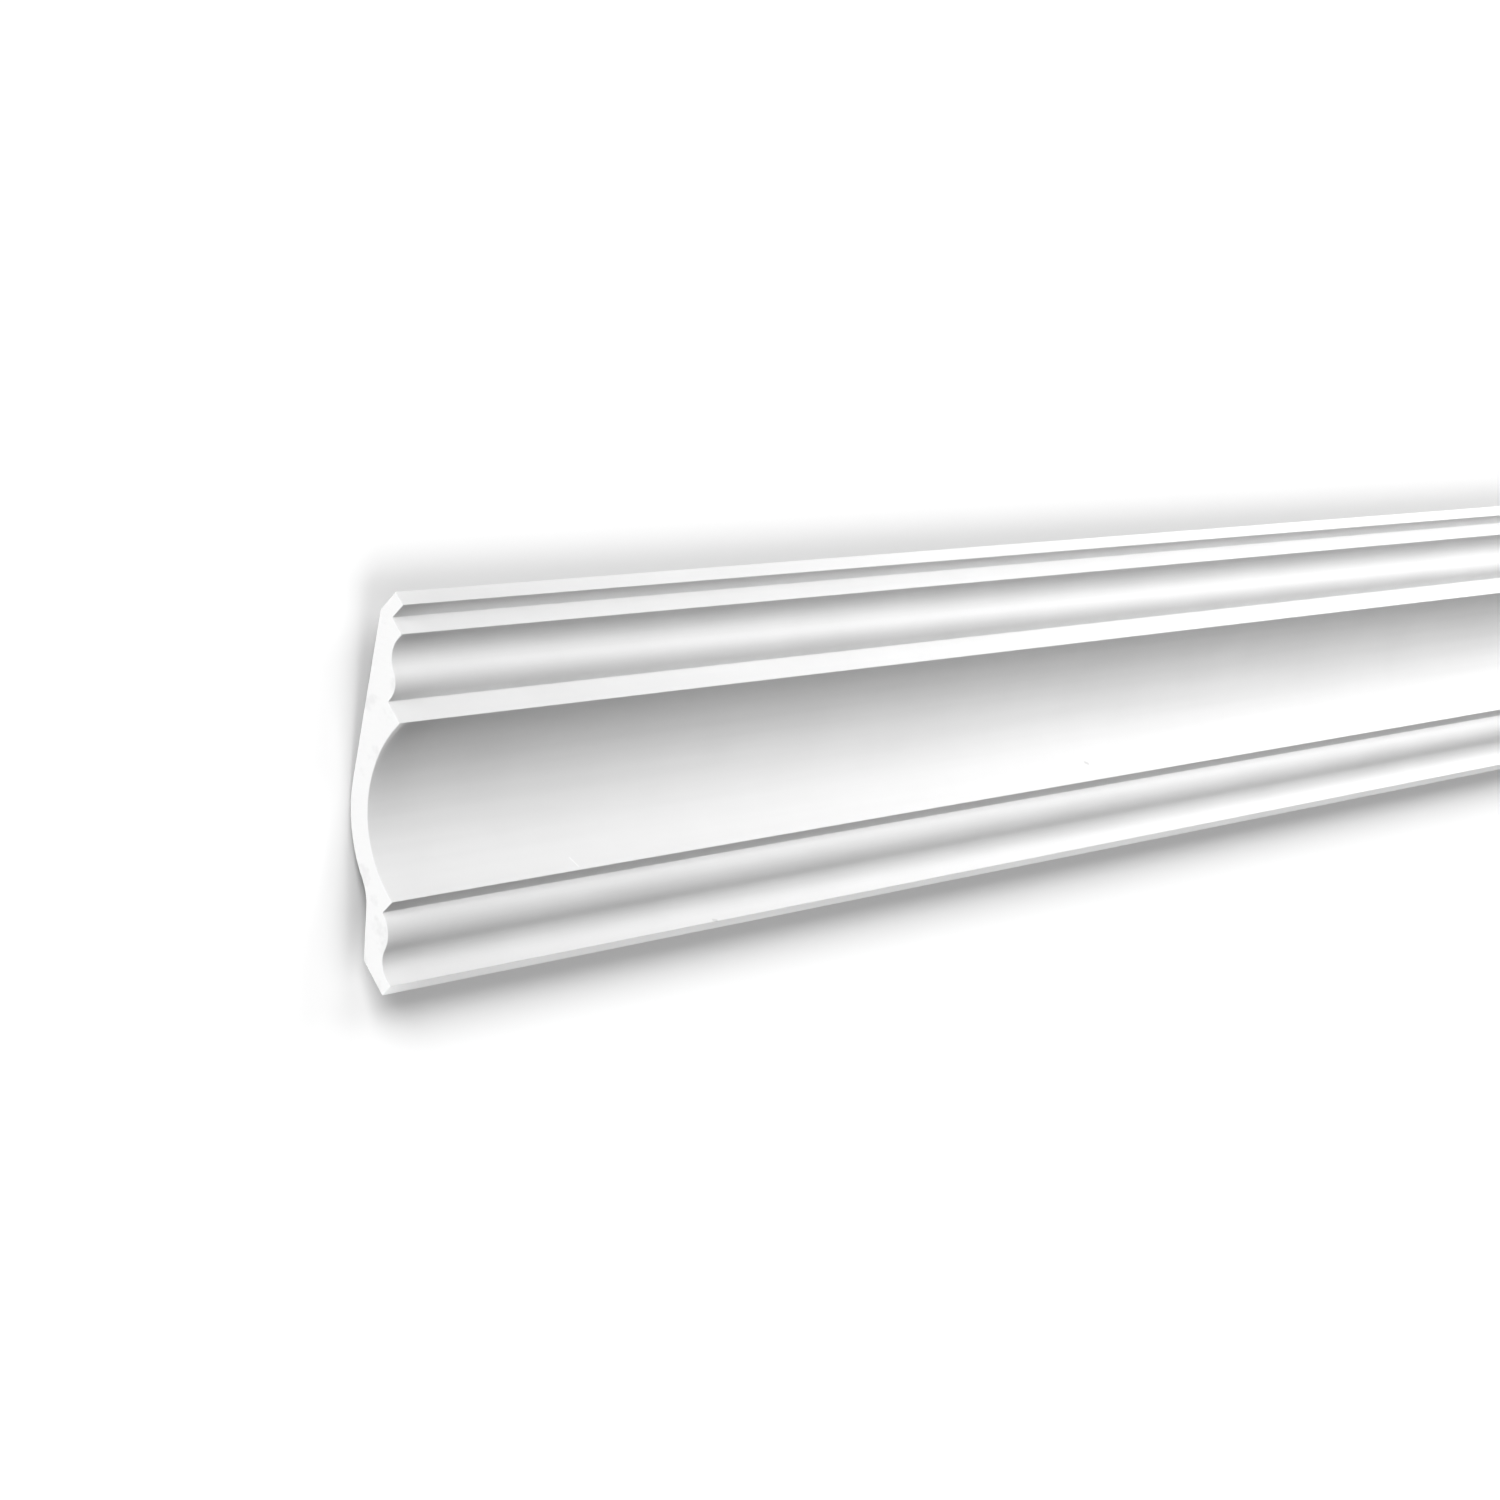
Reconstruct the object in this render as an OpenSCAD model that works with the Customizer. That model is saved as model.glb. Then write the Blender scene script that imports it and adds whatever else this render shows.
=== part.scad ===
// A length of crown moulding, cast in one piece, that bridges the corner of a wall and a ceiling.
//
// Frame: +X runs along the length, +Y points into the wall and +Z up to the ceiling.
// The origin is the middle of the face that beds on the wall.
//
// The section is drawn from the room corner as [u, v]: u runs out from the wall along the
// ceiling and v runs down the wall. From the ceiling down its front has a lip, a step, an ogee,
// a band, a deep quarter-round cove, a short return and an ogee foot. The back is cut away to
// an even shell behind the cove, which leaves one narrow bedding face at each edge.

/* [Overall] */
// Length between the two square-cut ends
length = 1000; // [100:10:2400]
// Reach along the ceiling
projection = 106; // [88:1:150]
// Reach down the wall
drop = 110; // [90:1:144]

/* [Bedding faces] */
// Width of the face that beds on the ceiling
ceiling_land = 11.3; // [8:0.1:16]
// Height of the face that beds on the wall
wall_land = 15.8; // [10:0.2:20]

/* [Lip and step] */
// Height of the lip at the outer edge
lip_h = 6.2; // [3:0.1:8]
// How far the step sits back from the lip
step_back = 7.7; // [3:0.1:10]
// Height of the step's front
step_h = 7.7; // [4:0.1:10]

/* [Upper ogee] */
// Flat under the step, before the ogee
ogee_flat_out = 2.8; // [0.5:0.1:5]
// Width of the ogee along the ceiling
ogee_run = 18.5; // [14:0.5:23]
// Height of the ogee down the wall
ogee_fall = 14.4; // [10:0.2:18]
// Flat between the ogee and the band
ogee_flat_in = 1.2; // [0.4:0.1:3]
// Radius of the ogee's hollow
ogee_hollow_r = 10; // [4:0.5:16]
// Radius of the ogee's round
ogee_round_r = 9; // [4:0.2:16]

/* [Band and cove] */
// Height of the band above the cove
band_h = 9.8; // [5:0.1:13]
// Flat left at the tighter end of the cove
cove_flat = 3.6; // [1:0.2:8]

/* [Foot] */
// Height of the foot below the cove
foot_h = 23.6; // [19:0.1:30]
// How far the foot sits back from the cove's lower edge
foot_step = 7; // [3:0.1:10]
// How far the foot's ogee swells out
foot_swell = 14.8; // [11:0.2:18]
// Plain strip left under the ogee
foot_strip = 3.8; // [1:0.1:5]
// Thickness of the bottom edge
foot_edge = 6.4; // [4:0.1:9]
// Radius of the foot's round
foot_round_r = 11.8; // [6:0.2:16]
// Radius of the foot's hollow
foot_hollow_r = 8.8; // [4:0.2:16]

/* [Back] */
// Thickness of the shell behind the cove
shell = 9.7; // [8:0.1:12]
// Slope of the back above the wall face, from the horizontal
back_slope = 45; // [40:1:50]
// Radius that blends that slope into the round back of the cove
back_blend_r = 20; // [8:1:24]

/* [Hidden] */
arc_step = 3; // degrees to each flat of a round stretch
right_angle = 90;
half_turn = 180;

// Directions in the section
outwards = [1, 0];
downwards = [0, 1];

// Corners of the front, from the lip down to the foot
lip_low = [projection, lip_h];
step_top = lip_low - step_back * outwards;
step_low = step_top + step_h * downwards;
ogee_start = step_low - ogee_flat_out * outwards;
ogee_end = ogee_start - ogee_run * outwards + ogee_fall * downwards;
band_top = ogee_end - ogee_flat_in * outwards;
band_low = band_top + band_h * downwards;
foot_start = [foot_edge + foot_swell, drop - foot_h];
foot_end = [foot_edge, drop - foot_strip];
cove_low = foot_start + foot_step * outwards;

// The cove is a quarter circle tangent to the band's underside and to the upright at its lower
// edge, as large as the tighter of its two ends lets it be
cove_r = min(band_low.x - cove_low.x, cove_low.y - band_low.y) - cove_flat;
cove_centre = [cove_low.x + cove_r, band_low.y + cove_r];

// The back is round about the same centre. A straight runs from it to the ceiling face, and a
// slope up from the wall face meets it in a hollow blend
ceiling_edge = [projection - ceiling_land, 0];
wall_edge = [0, drop - wall_land];
back_r = cove_r + shell;
slope_dir = [cos(back_slope), -sin(back_slope)];
slope_normal = [-sin(back_slope), -cos(back_slope)];
blend_start = wall_edge + back_blend_r * slope_normal;
blend_centre = blend_start
    + reach(blend_start, slope_dir, cove_centre, back_r + back_blend_r) * slope_dir;

// Distance from `start` along the unit vector `dir` to the nearer point that is `r` from `centre`
function reach(start, dir, centre, r) =
    let (gap = centre - start,
         along = gap * dir)
    along - sqrt(r * r - gap * gap + along * along);

// Direction from one point to another, in degrees
function facing(from, to) = atan2(to.y - from.y, to.x - from.x);

// Points of an arc about `centre`, from one angle to another
function arc(centre, r, from, to) =
    let (flats = ceil(abs(to - from) / arc_step))
    [for (i = [0 : flats])
        let (angle = from + (to - from) * i / flats)
        centre + r * [cos(angle), sin(angle)]];

// An S-curve is two arcs joined by a straight that touches both. It starts and ends running the
// same way, `along` that way and `across` it. Its two radii shrink together where they don't fit
function bend_fit(across, along, radii) =
    min(1, (across * across + along * along) / (2 * across * radii));

// Angle between the way an S-curve starts and its straight
function bend_angle(across, along, radii) =
    atan2(across - radii, along) + asin(min(1, radii / norm([across - radii, along])));

// Upper ogee, from the flat under the step in to the band: a hollow, then a round
function upper_ogee() =
    let (fit = bend_fit(ogee_fall, ogee_run, ogee_hollow_r + ogee_round_r),
         hollow_r = fit * ogee_hollow_r,
         round_r = fit * ogee_round_r,
         angle = bend_angle(ogee_fall, ogee_run, hollow_r + round_r))
    concat(
        arc(ogee_start + hollow_r * downwards, hollow_r, -right_angle, -right_angle - angle),
        arc(ogee_end - round_r * downwards, round_r, right_angle - angle, right_angle));

// Foot ogee, from the return under the cove down to the bottom strip: a round, then a hollow
function foot_ogee() =
    let (height = foot_end.y - foot_start.y,
         fit = bend_fit(foot_swell, height, foot_round_r + foot_hollow_r),
         round_r = fit * foot_round_r,
         hollow_r = fit * foot_hollow_r,
         angle = bend_angle(foot_swell, height, round_r + hollow_r))
    concat(
        arc(foot_start - round_r * outwards, round_r, 0, angle),
        arc(foot_end + hollow_r * outwards, hollow_r, half_turn + angle, half_turn));

function cove() = arc(cove_centre, cove_r, -right_angle, -half_turn);

// Back, from the wall face up to the end of the round behind the cove
function back() =
    let (meet = facing(blend_centre, cove_centre),
         leave = facing(cove_centre, ceiling_edge)
             - acos(back_r / norm(ceiling_edge - cove_centre)))
    concat(
        arc(blend_centre, back_blend_r, right_angle - back_slope, meet),
        arc(cove_centre, back_r, meet - half_turn, leave));

module section() {
    polygon(concat(
        [ceiling_edge, [projection, 0], lip_low, step_top, step_low],
        upper_ogee(),
        [band_top, band_low],
        cove(),
        [cove_low],
        foot_ogee(),
        [[foot_edge, drop], [0, drop], wall_edge],
        back()));
}

// Turns the section so that u runs along -Y, v along -Z and the length along +X
module moulding() {
    color("white")
        translate([-length / 2, 0, drop - wall_land / 2])
            rotate([-right_angle, 0, -right_angle])
                linear_extrude(length) section();
}

moulding();
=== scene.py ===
"""A metre of primed white crown moulding, cast in polyurethane foam, against a pale studio sheet.

Lengths are in metres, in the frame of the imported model: +X runs along the moulding, +Y into the
wall and +Z up to the ceiling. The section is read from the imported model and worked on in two
coordinates that suit it, both measured from the corner of the room: `down` runs down the face
from the ceiling edge to the wall edge, and `proud` stands out from the corner at right angles to
it. The front and the back of the section are then two single curves, proud = f(down).
"""
import math

import bpy
import numpy as np
from mathutils import Matrix, Vector


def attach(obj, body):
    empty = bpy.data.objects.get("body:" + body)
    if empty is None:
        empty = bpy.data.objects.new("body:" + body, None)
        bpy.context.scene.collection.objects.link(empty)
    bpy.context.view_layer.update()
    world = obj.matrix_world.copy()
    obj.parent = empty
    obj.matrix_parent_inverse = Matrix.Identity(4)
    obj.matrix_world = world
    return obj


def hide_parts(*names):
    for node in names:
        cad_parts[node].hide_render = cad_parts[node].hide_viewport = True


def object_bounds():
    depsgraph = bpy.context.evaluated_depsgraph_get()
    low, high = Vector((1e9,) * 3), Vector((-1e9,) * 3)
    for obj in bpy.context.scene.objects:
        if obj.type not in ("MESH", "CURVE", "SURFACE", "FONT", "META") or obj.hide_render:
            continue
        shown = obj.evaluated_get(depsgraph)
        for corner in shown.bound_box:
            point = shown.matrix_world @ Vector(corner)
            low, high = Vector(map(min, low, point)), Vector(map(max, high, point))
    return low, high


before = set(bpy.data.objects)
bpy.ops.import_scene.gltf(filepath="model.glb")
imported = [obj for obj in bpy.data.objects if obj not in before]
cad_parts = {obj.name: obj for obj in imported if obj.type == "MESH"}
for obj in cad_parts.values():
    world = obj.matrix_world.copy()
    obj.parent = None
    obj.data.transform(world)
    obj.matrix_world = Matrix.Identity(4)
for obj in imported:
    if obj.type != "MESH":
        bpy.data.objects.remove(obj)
CAD_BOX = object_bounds()
CAD_LOW, CAD_HIGH = CAD_BOX
CAD_MIDDLE = (CAD_LOW + CAD_HIGH) / 2

MM = 0.001
FACE = math.sqrt(0.5)  # cosine of the 45 degrees between the moulding's face and the wall

SHARP_TURN = math.radians(20)  # a turn of the outline above this is a corner of the design
ARC_CHORD = 3 * MM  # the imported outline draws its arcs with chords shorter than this
SOFT_ARRIS = 0.26 * MM  # reach of the mould's and the primer's softening of a corner
OUTLINE_STEP = 0.05 * MM  # spacing at which the softened outline is worked out
FACE_PITCH = 1.4 * MM  # widest spacing of the mesh's points round the section
FACE_TURN = math.radians(9)  # most that the surface turns between two of them
STATIONS = 48  # rings of points along the length
END_CHAMFER = 0.2 * MM  # edge that the saw leaves
END_STEPS = 8  # faces through the thickness of a cut end
RIPPLE = 0.08 * MM  # how far the cast face sinks here and there
FRONT, CUT, BACK = range(3)  # the mesh's finishes


# ---------------------------------------------------------------- the section


def face_coordinates(y, z):
    """down = (drop - out) and proud = (drop + out), each times the cosine of 45 degrees, where
    out is the distance from the wall and drop the distance from the ceiling."""
    out, drop = CAD_HIGH.y - y, CAD_HIGH.z - z
    return np.stack([(drop - out) * FACE, (drop + out) * FACE], axis=-1)


def room_coordinates(down, proud):
    """The reverse of face_coordinates: Y and Z."""
    return CAD_HIGH.y - (proud - down) * FACE, CAD_HIGH.z - (proud + down) * FACE


def in_order(points):
    """One side's points, once each, in order down the face."""
    _, first = np.unique(np.round(points[:, 0] / (0.01 * MM)), return_index=True)
    return points[first]


def packed_outline(node):
    """The closed outline of the section: down the front, and up the back.

    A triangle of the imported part's long sides that has two corners on its end holds one edge of
    the outline, which belongs to the front where the triangle looks away from the room's corner.
    """
    mesh = node.data
    co = np.empty(len(mesh.vertices) * 3)
    mesh.vertices.foreach_get("co", co)
    index = np.empty(len(mesh.loops), dtype=int)
    mesh.loops.foreach_get("vertex_index", index)
    triangles = co.reshape(-1, 3)[index].reshape(-1, 3, 3)
    on_end = triangles[:, :, 0] < CAD_LOW.x + 0.1 * MM
    sides = on_end.sum(axis=1) == 2
    edges = triangles[sides][on_end[sides]].reshape(-1, 2, 3)
    normal = np.cross(triangles[:, 1] - triangles[:, 0], triangles[:, 2] - triangles[:, 0])[sides]
    is_front = normal[:, 1] + normal[:, 2] < 0
    flat = face_coordinates(edges[:, :, 1], edges[:, :, 2])
    front = in_order(flat[is_front].reshape(-1, 2))
    back = in_order(flat[~is_front].reshape(-1, 2))
    return np.concatenate([front, back[-2:0:-1]])


def turns(loop):
    """The angle by which a closed outline turns at each of its points."""
    away = np.roll(loop, -1, axis=0) - loop
    heading = away[:, 0] + 1j * away[:, 1]
    return np.angle(heading / np.roll(heading, 1))


def with_arcs(loop):
    """Adds the middle of every edge, and lifts it onto the arc that an arc's chord stands for.

    The lift is half the chord times the tangent of a quarter of the angle that the arc turns
    through, which is the mean of the turns at its ends, leaving out the corners of the design.
    """
    away = np.roll(loop, -1, axis=0) - loop
    turn = turns(loop)
    gentle = np.abs(turn) < SHARP_TURN
    turn = np.where(gentle, turn, 0)
    ends = np.maximum(gentle.astype(int) + np.roll(gentle, -1), 1)
    angle = (turn + np.roll(turn, -1)) / ends
    angle = np.where(np.hypot(*away.T) < ARC_CHORD, angle, 0)
    outward = np.stack([-away[:, 1], away[:, 0]], axis=1)
    middle = loop + away / 2 - outward * (np.tan(angle / 4) / 2)[:, None]
    return np.stack([loop, middle], axis=1).reshape(-1, 2)


def softened(loop):
    """The outline at even steps, each point the mean of its neighbours under a bell curve, which
    leaves flats as they are and turns every corner into a small round."""
    closed = np.concatenate([loop, loop[:1]])
    along = np.concatenate([[0], np.cumsum(np.hypot(*np.diff(closed, axis=0).T))])
    steps = np.linspace(0, along[-1], round(along[-1] / OUTLINE_STEP), endpoint=False)
    even = np.interp(steps, along, closed[:, 0]) + 1j * np.interp(steps, along, closed[:, 1])
    frequency = np.fft.fftfreq(len(even), d=OUTLINE_STEP)
    bell = np.exp(-2 * (np.pi * SOFT_ARRIS * frequency) ** 2)
    soft = np.fft.ifft(np.fft.fft(even) * bell)
    return np.stack([soft.real, soft.imag], axis=1)


def worth_a_point(loop):
    """The places down the face where one side needs a point: a new one comes each time that the
    distance in pitches plus the turning in steps has grown by one."""
    length = np.hypot(*(np.roll(loop, -1, axis=0) - loop).T)
    need = np.cumsum(length / FACE_PITCH + np.abs(turns(loop)) / FACE_TURN)
    at = np.linspace(need[0], need[-1], math.ceil(need[-1] - need[0]))
    return np.interp(at, need, loop[:, 0])


def finished_section(node):
    """down, front and back: the two curves' proud at one list of places down the face."""
    loop = softened(with_arcs(with_arcs(packed_outline(node))))
    loop = np.roll(loop, -loop[:, 0].argmin(), axis=0)
    foot = loop[:, 0].argmax()
    front = loop[: foot + 1]
    back = np.concatenate([loop[foot:], loop[:1]])[::-1]
    down = np.concatenate([worth_a_point(loop), front[[0, -1], 0]])
    down = in_order(np.stack([down, down], axis=1))[:, 0]
    return down, np.interp(down, *front.T), np.interp(down, *back.T)


# ---------------------------------------------------------------- the moulding's mesh


def sinking(x, down):
    """How far the cast face lies below true: three slow waves along the length, whose phase
    drifts down the face, as foam pulls in while it cures in a long mould.

    A wave is the sine of (x turns in a wavelength) + (down times its drift) + (its start). The
    three heights add up to 2, so the sinking lies between 0 and RIPPLE.
    """

    def wave(wavelength, drift, start):
        return np.sin(x * math.tau / wavelength + down * drift + start)

    waves = wave(0.61, 31, 0.4) + 0.6 * wave(0.27, -47, 2.1) + 0.4 * wave(0.15, 74, 4.0)
    return RIPPLE * (0.5 + waves / 4)


def swept(loop, on_front, stations):
    """Points of the long sides on a grid of rings by outline points: each ring is the outline,
    moved in along its own normal by the sinking, and by the chamfer on the first and last."""
    ahead = np.roll(loop, -1, axis=0) - np.roll(loop, 1, axis=0)
    normal = np.stack([-ahead[:, 1], ahead[:, 0]], axis=1) / np.hypot(*ahead.T)[:, None]
    inset = np.zeros(len(stations))
    inset[[0, -1]] = END_CHAMFER
    depth = np.where(on_front, sinking(stations[:, None], loop[:, 0]), 0) + inset[:, None]
    y, z = room_coordinates(loop[:, 0] - normal[:, 0] * depth, loop[:, 1] - normal[:, 1] * depth)
    return np.stack([np.broadcast_to(stations[:, None], y.shape), y, z], axis=-1)


def grid_faces(index):
    """The quads of a grid of point numbers."""
    return np.stack([index[:-1, :-1], index[:-1, 1:], index[1:, 1:], index[1:, :-1]], -1).reshape(-1, 4)


def cut_end(ring, first, start, turned):
    """A cut end: straight rows of points through the thickness, from the front to the back.

    ring is the end's outline, whose points are numbered from first; new points are numbered from
    start. The two edges of the moulding close the grid with fans of triangles.
    """
    half = len(ring) // 2
    rows = np.arange(1, half)
    front, back = ring[rows][:, None], ring[-rows][:, None]
    share = np.linspace(0, 1, END_STEPS + 1)[None, 1:-1, None]
    points = (front * (1 - share) + back * share).reshape(-1, 3)
    middle = start + np.arange(len(points)).reshape(len(rows), -1)
    index = np.column_stack([first + rows, middle, first + len(ring) - rows])
    top = np.column_stack([np.full(END_STEPS, first), index[0, 1:], index[0, :-1]])
    foot = np.column_stack([np.full(END_STEPS, first + half), index[-1, :-1], index[-1, 1:]])
    way = -1 if turned else 1
    return points, grid_faces(index)[:, ::way], np.concatenate([top, foot])[:, ::way]


def moulding_mesh(section, finishes):
    """The section swept along the length and closed across both cut ends, as one shell. finishes
    are the materials of the front, the cut ends and the back."""
    down, front, back = section
    loop = np.concatenate([np.column_stack([down, front]), np.column_stack([down, back])[-2:0:-1]])
    on_front = np.arange(len(loop)) < len(down)
    body = np.linspace(CAD_LOW.x + END_CHAMFER, CAD_HIGH.x - END_CHAMFER, STATIONS)
    rings = swept(loop, on_front, np.concatenate([[CAD_LOW.x], body, [CAD_HIGH.x]]))
    index = np.arange(rings.shape[0] * rings.shape[1]).reshape(rings.shape[:2])
    sides = grid_faces(np.column_stack([index, index[:, :1]]))
    is_back = np.tile(np.arange(len(loop)) >= len(down) - 1, len(index) - 1)
    near, near_quads, near_fans = cut_end(rings[0], 0, index.size, False)
    far, far_quads, far_fans = cut_end(rings[-1], index[-1, 0], index.size + len(near), True)
    points = np.concatenate([rings.reshape(-1, 3), near, far])
    quads = np.concatenate([sides, near_quads, far_quads])
    fans = np.concatenate([near_fans, far_fans])
    finish = np.full(len(quads) + len(fans), CUT)
    finish[: len(sides)] = np.where(is_back, BACK, FRONT)

    mesh = bpy.data.meshes.new("moulding_length")
    mesh.from_pydata(points.tolist(), [], quads.tolist() + fans.tolist())
    for material in finishes:
        mesh.materials.append(material)
    mesh.polygons.foreach_set("material_index", finish)
    mesh.polygons.foreach_set("use_smooth", finish != CUT)
    mesh.update()
    piece = bpy.data.objects.new("moulding_length", mesh)
    bpy.context.scene.collection.objects.link(piece)
    return piece


# ---------------------------------------------------------------- finishes


def linear(hex_colour, alpha=1.0):
    """A colour written as sRGB hex, in linear light."""
    value = np.array([int(hex_colour[i : i + 2], 16) / 255 for i in (1, 3, 5)])
    value = np.where(value <= 0.04045, value / 12.92, ((value + 0.055) / 1.055) ** 2.4)
    return (*value.tolist(), alpha)


def add(tree, kind, inputs=None, **settings):
    """Adds a node and returns its outputs. Each input is given a value, or an output to link."""
    node = tree.nodes.new("ShaderNode" + kind)
    for name, value in settings.items():
        setattr(node, name, value)
    for name, value in (inputs or {}).items():
        if isinstance(value, bpy.types.NodeSocket):
            tree.links.new(value, node.inputs[name])
        else:
            node.inputs[name].default_value = value
    return node.outputs


def new_material(name):
    """An empty node material and its tree."""
    material = bpy.data.materials.new(name)
    material.use_nodes = True
    material.node_tree.nodes.clear()
    return material, material.node_tree


def on_face(along, out, drop):
    """A point on the face, in millimetres: along from the near end, out from the wall and down
    from the ceiling."""
    return Vector((CAD_LOW.x + along * MM, CAD_HIGH.y - out * MM, CAD_HIGH.z - drop * MM))


def mark(tree, place, start, end, reach):
    """A short straight mark: 1 on the line from start to end, falling to 0 at reach from it.

    The nearest point of the line is its start plus the line times the point's share of the way
    along it, held between 0 and 1.
    """
    line = end - start
    step = line / line.length_squared
    offset = add(tree, "VectorMath", {0: place, 1: start}, operation="SUBTRACT")["Vector"]
    share = add(tree, "VectorMath", {0: offset, 1: step}, operation="DOT_PRODUCT")["Value"]
    held = add(tree, "Clamp", {"Value": share})["Result"]
    nearest = add(tree, "VectorMath", {0: line, "Scale": held}, operation="SCALE")["Vector"]
    away = add(tree, "VectorMath", {0: offset, 1: nearest}, operation="DISTANCE")["Value"]
    return add(tree, "MapRange", {"Value": away, "From Min": reach, "From Max": 0.0})["Result"]


def primed_polyurethane():
    """Rigid polyurethane foam, cast in a steel mould and sprayed with white acrylic primer.

    The skin is even and close to white, with a soft satin sheen. Close to, the spray leaves a
    faint orange peel, and the mould's polish leaves long faint streaks along the length. Low in
    the cove it has a small scratch down to the white foam and a small grey smudge, and it was
    knocked on the lower edge of the foot.
    """
    material, tree = new_material("primed moulded polyurethane")
    place = add(tree, "TexCoord")["Object"]
    drawn = add(tree, "Mapping", {"Vector": place, "Scale": (0.03, 1, 1)})["Vector"]
    streaks = add(tree, "TexNoise", {"Vector": drawn, "Scale": 1 / (5 * MM), "Detail": 3})["Fac"]
    clouds = add(tree, "TexNoise", {"Vector": place, "Scale": 1 / (45 * MM), "Detail": 2})["Fac"]
    peel = add(tree, "TexNoise", {"Vector": place, "Scale": 1 / (1.6 * MM), "Detail": 2})["Fac"]
    tone = add(tree, "Math", {0: streaks, 1: clouds}, operation="ADD")["Value"]
    ramp = {"Value": tone, "From Min": 0.7, "From Max": 1.3}
    shade = add(tree, "MapRange", {**ramp, "To Min": 0.0, "To Max": 1.0})["Result"]
    sheen = add(tree, "MapRange", {**ramp, "To Min": 0.44, "To Max": 0.52})["Result"]
    scratch = mark(tree, place, on_face(97.6, 28.2, 80.3), on_face(99.7, 28.3, 84.7), 0.6 * MM)
    smudge = mark(tree, place, on_face(449.0, 28.6, 76.3), on_face(450.8, 28.4, 77.2), 1.1 * MM)
    knock = mark(tree, place, on_face(180.1, 6.4, 109.0), on_face(182.0, 6.4, 109.5), 0.8 * MM)
    dirt = add(tree, "Math", {0: smudge, 1: knock}, operation="MAXIMUM")["Value"]
    paint = {0: shade, 6: linear("#EDEDED"), 7: linear("#F1F1F1")}
    primer = add(tree, "Mix", paint, data_type="RGBA")[2]
    bared = {0: scratch, 6: primer, 7: linear("#FFFFFF")}
    scratched = add(tree, "Mix", bared, data_type="RGBA")[2]
    dirtied = {0: dirt, 6: scratched, 7: linear("#D2D2D2")}
    colour = add(tree, "Mix", dirtied, data_type="RGBA")[2]
    skin = add(tree, "Bump", {"Height": peel, "Strength": 0.25, "Distance": 0.02 * MM})["Normal"]
    groove = {"Height": scratch, "Strength": 0.5, "Distance": 0.15 * MM, "Normal": skin}
    relief = add(tree, "Bump", groove, invert=True)["Normal"]
    inputs = {"Base Color": colour, "Roughness": sheen, "IOR": 1.49, "Normal": relief}
    shader = add(tree, "BsdfPrincipled", inputs)["BSDF"]
    add(tree, "OutputMaterial", {"Surface": shader})
    return material


def sawn_polyurethane():
    """The same foam where a fine saw has cut through it.

    It is dead matt and very white, because each cut cell scatters light. The cells and the saw's
    lines only roughen it, and the foam is a little denser and greyer in a few patches.
    """
    material, tree = new_material("sawn polyurethane foam")
    place = add(tree, "TexCoord")["Object"]
    patches = add(tree, "TexNoise", {"Vector": place, "Scale": 1 / (7 * MM), "Detail": 4})["Fac"]
    cells = add(tree, "TexVoronoi", {"Vector": place, "Scale": 1 / (0.6 * MM)})["Distance"]
    tilted = add(tree, "Mapping", {"Vector": place, "Rotation": (math.radians(38), 0, 0)})["Vector"]
    saw = {"Vector": tilted, "Scale": 1 / (9 * MM), "Distortion": 1.5, "Detail": 2}
    lines = add(tree, "TexWave", saw, bands_direction="Y")["Fac"]
    ramp = {"Value": patches, "From Min": 0.56, "From Max": 0.7}
    dense = add(tree, "MapRange", ramp)["Result"]
    paint = {0: dense, 6: linear("#F6F6F6"), 7: linear("#EEEEEE")}
    colour = add(tree, "Mix", paint, data_type="RGBA")[2]
    height = add(tree, "Math", {0: lines, 1: 0.35, 2: cells}, operation="MULTIPLY_ADD")["Value"]
    bump = add(tree, "Bump", {"Height": height, "Strength": 0.5, "Distance": 0.08 * MM})["Normal"]
    inputs = {"Base Color": colour, "Roughness": 0.9, "IOR": 1.49, "Normal": bump}
    shader = add(tree, "BsdfPrincipled", inputs)["BSDF"]
    add(tree, "OutputMaterial", {"Surface": shader})
    return material


def bare_polyurethane():
    """The foam's own moulded skin, on the back that the wall hides.

    It has no primer, so it is a duller and slightly warmer white. Some overspray reaches round
    the two edges: it starts at a ragged distance of 52 to 66 mm from the line that runs straight
    in from the room's corner, and is full 12 mm further out.
    """
    material, tree = new_material("bare moulded polyurethane")
    place = add(tree, "TexCoord")["Object"]
    clouds = add(tree, "TexNoise", {"Vector": place, "Scale": 1 / (18 * MM), "Detail": 4})["Fac"]
    grain = add(tree, "TexNoise", {"Vector": place, "Scale": 1 / (1.1 * MM), "Detail": 3})["Fac"]
    across = {0: place, 1: (0, FACE, -FACE)}
    down = add(tree, "VectorMath", across, operation="DOT_PRODUCT")["Value"]
    corner = (CAD_HIGH.y - CAD_HIGH.z) * FACE
    off = add(tree, "Math", {0: down, 1: corner}, operation="SUBTRACT")["Value"]
    off = add(tree, "Math", {0: off}, operation="ABSOLUTE")["Value"]
    ragged = add(tree, "Math", {0: clouds, 1: 14 * MM, 2: off}, operation="MULTIPLY_ADD")["Value"]
    ramp = {"Value": ragged, "From Min": 66 * MM, "From Max": 78 * MM}
    overspray = add(tree, "MapRange", ramp)["Result"]
    paint = {0: clouds, 6: linear("#E4E1D8"), 7: linear("#EEEBE3")}
    skin = add(tree, "Mix", paint, data_type="RGBA")[2]
    cover = {0: overspray, 6: skin, 7: linear("#EFEFEE")}
    colour = add(tree, "Mix", cover, data_type="RGBA")[2]
    bump = add(tree, "Bump", {"Height": grain, "Strength": 0.4, "Distance": 0.06 * MM})["Normal"]
    inputs = {"Base Color": colour, "Roughness": 0.62, "IOR": 1.49, "Normal": bump}
    shader = add(tree, "BsdfPrincipled", inputs)["BSDF"]
    add(tree, "OutputMaterial", {"Surface": shader})
    return material


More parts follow.
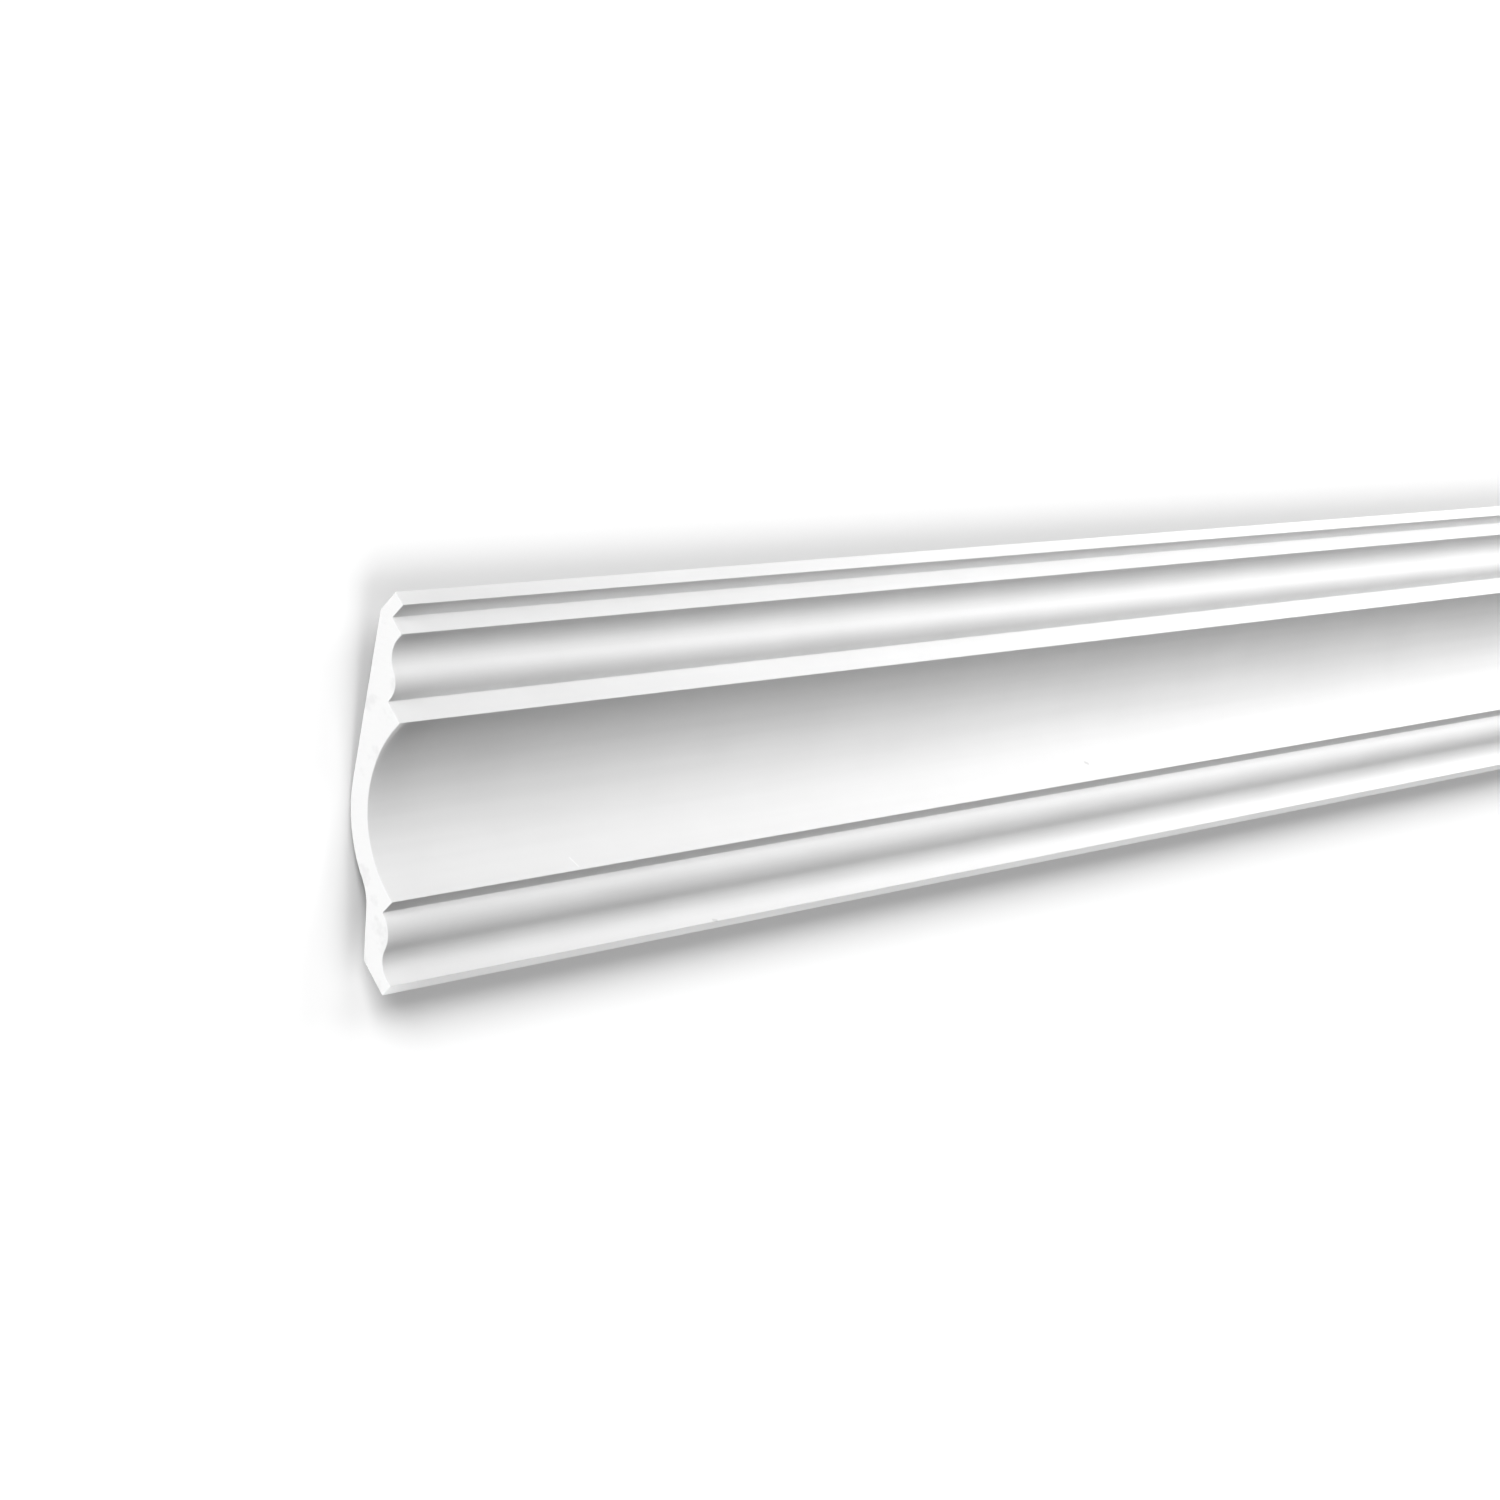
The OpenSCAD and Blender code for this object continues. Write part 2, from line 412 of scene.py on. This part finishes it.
def matt_paper(name, tint, lighter_tint):
    """Studio paper, matt and even, with faint clouds. It is clear when seen from behind, so that
    a view from any side keeps the moulding in sight."""
    material, tree = new_material(name)
    place = add(tree, "TexCoord")["Object"]
    clouds = add(tree, "TexNoise", {"Vector": place, "Scale": 1 / (60 * MM), "Detail": 2})["Fac"]
    paint = {0: clouds, 6: linear(tint), 7: linear(lighter_tint)}
    colour = add(tree, "Mix", paint, data_type="RGBA")[2]
    paper = add(tree, "BsdfDiffuse", {"Color": colour})["BSDF"]
    behind = add(tree, "NewGeometry")["Backfacing"]
    clear = add(tree, "BsdfTransparent")["BSDF"]
    surface = add(tree, "MixShader", {0: behind, 1: paper, 2: clear})["Shader"]
    add(tree, "OutputMaterial", {"Surface": surface})
    return material


# ---------------------------------------------------------------- studio

SHEET_CLEARANCE = 1 * MM  # between the moulding's back and the backdrop
SHEET_SPAN = 16.0
FLOOR_BELOW = 0.55  # from the moulding's foot down to the floor, so that it is under the camera
FLOOR_SPAN = 24.0
SOFTBOX_SIZE = 0.8
SOFTBOX_AWAY = 1.1  # from a softbox to the place that it faces


def flat_sheet(name, middle, normal, span, material):
    """A square of paper round a point, facing along normal. It shows, and takes shade, but
    throws none and sends no light back."""
    facing = Vector(normal).to_track_quat("Z", "Y").to_matrix()
    half = span / 2
    corners = [(-half, -half, 0), (half, -half, 0), (half, half, 0), (-half, half, 0)]
    mesh = bpy.data.meshes.new(name)
    mesh.from_pydata([middle + facing @ Vector(corner) for corner in corners], [], [(0, 1, 2, 3)])
    mesh.materials.append(material)
    sheet = bpy.data.objects.new(name, mesh)
    bpy.context.scene.collection.objects.link(sheet)
    sheet.visible_diffuse = False
    sheet.visible_glossy = False
    sheet.visible_shadow = False
    return sheet


def look_along(azimuth, elevation, roll=0.0):
    """The axes of a view as a rotation: azimuth 0 looks along +Y and 90 along -X, elevation is
    the eye's height over the horizon, and roll turns the picture."""
    az, el, turn = (math.radians(angle) for angle in (azimuth, elevation, roll))
    ahead = Vector((-math.sin(az) * math.cos(el), math.cos(az) * math.cos(el), -math.sin(el)))
    level = Vector((math.cos(az), math.sin(az), 0))
    upright = level.cross(ahead)
    right = level * math.cos(turn) + upright * math.sin(turn)
    up = upright * math.cos(turn) - level * math.sin(turn)
    return Matrix((right, up, -ahead)).transposed()


def aim_at(name, data, target, distance, azimuth, elevation, roll=0.0):
    """Sets a camera or a light at a distance from its target, looking at it."""
    thing = bpy.data.objects.new(name, data)
    axes = look_along(azimuth, elevation, roll)
    thing.matrix_world = Matrix.Translation(target + axes @ Vector((0, 0, distance))) @ axes.to_4x4()
    bpy.context.scene.collection.objects.link(thing)
    return thing


def middle_at(along):
    """The middle of the section's box, so many millimetres from the near end."""
    return Vector((CAD_LOW.x + along * MM, CAD_MIDDLE.y, CAD_MIDDLE.z))


def softbox(name, along, azimuth, elevation, power):
    """A square studio softbox of so many watts that faces the moulding at one place."""
    data = bpy.data.lights.new(name, "AREA")
    data.shape = "SQUARE"
    data.size = SOFTBOX_SIZE
    data.energy = power
    return aim_at(name, data, middle_at(along), SOFTBOX_AWAY, azimuth, elevation)


def far_light(name, azimuth, elevation, spread, strength):
    """A soft light from far off, spread degrees wide. Strength is the brightness it gives to a
    white surface that faces it. What it lights sends none of it on, and it is looked for from
    the surfaces alone, because a ray that finds it by chance takes no notice of keep_to."""
    data = bpy.data.lights.new(name, "SUN")
    data.angle = math.radians(spread)
    data.energy = strength * math.pi
    data.cycles.max_bounces = 0
    data.cycles.use_multiple_importance_sampling = False
    return aim_at(name, data, CAD_MIDDLE, 6.0, azimuth, elevation)


def keep_to(lights, things, name):
    """These lights fall on these things only."""
    group = bpy.data.collections.new(name)
    for thing in things:
        group.objects.link(thing)
    for light in lights:
        light.light_linking.receiver_collection = group


def light_moulding(piece):
    """Softboxes in front, which light the far half more than the near one, and far lights that
    fill the near end, the underside and the back."""
    near, middle, far = 100, 650, 1100
    lights = [
        softbox("near front", near, 0, 0, 4.8),
        softbox("near side", near, 65, 10, 2.4),
        softbox("middle low", middle, -20, -25, 3.9),
        softbox("middle side", middle, 65, 10, 3.2),
        softbox("middle front", middle, 30, 0, 1.9),
        softbox("far low", far, -20, -25, 2.8),
        far_light("high fill", 0, 45, 130, 0.09),
        far_light("on the near end", -90, 12, 40, 0.94),
        far_light("low behind", 180, -41, 8, 0.92),
        far_light("high behind", 180, 62, 70, 0.47),
    ]
    keep_to(lights, [piece], "lit moulding")


def light_paper(backdrop, floor):
    """Fairly narrow lights from the front, mostly from the left, so that the moulding's shade
    lies close round it and falls below it. The floor has one wide light of its own."""
    lights = [
        far_light("paper left", -39, 0, 26, 0.97),
        far_light("paper right", 40, 0, 30, 0.18),
        far_light("paper front", 0, 0, 30, 0.14),
        far_light("paper near end", -75, -40, 30, 0.06),
        far_light("paper below", 0, -70, 60, 0.39),
    ]
    keep_to(lights, [backdrop], "lit backdrop")
    keep_to([far_light("over the floor", -30, 70, 60, 1.0)], [floor], "lit floor")


def studio(piece, section):
    """The camera, low and to the left with its picture rolled, the paper, and the soft lights."""
    scene = bpy.context.scene
    camera = bpy.data.cameras.new("camera")
    camera.lens = 76.8
    camera.sensor_width = 36
    aim = middle_at(208) + Vector((0, 6.1 * MM, 1 * MM))
    scene.camera = aim_at(
        "camera", camera, aim, distance=1.345, azimuth=-51.754, elevation=-18.963, roll=-30.515
    )

    down, _, back = section
    y, z = room_coordinates(down.mean(), back.min() - SHEET_CLEARANCE)
    white_paper = matt_paper("white studio paper", "#FAFAFA", "#FBFBFB")
    pale_paper = matt_paper("pale grey studio paper", "#DADADA", "#DDDDDD")
    backdrop = flat_sheet("backdrop", Vector((0, y, z)), (0, -1, -1), SHEET_SPAN, white_paper)
    below = Vector((0, 0, CAD_LOW.z - FLOOR_BELOW))
    floor = flat_sheet("floor", below, (0, 0, 1), FLOOR_SPAN, pale_paper)
    light_moulding(piece)
    light_paper(backdrop, floor)

    world = bpy.data.worlds.new("studio air")
    world.use_nodes = True
    tree = world.node_tree
    tree.nodes.clear()
    seen = add(tree, "LightPath")["Is Camera Ray"]
    air = {"Color": linear("#D7D7D7"), "Strength": seen}
    add(tree, "OutputWorld", {"Surface": add(tree, "Background", air)["Background"]})
    scene.world = world
    scene.view_settings.view_transform = "Standard"


# ---------------------------------------------------------------- the piece

section = finished_section(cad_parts["moulding"])
moulding = moulding_mesh(
    section, (primed_polyurethane(), sawn_polyurethane(), bare_polyurethane())
)
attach(moulding, "root")
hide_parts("moulding")
studio(moulding, section)
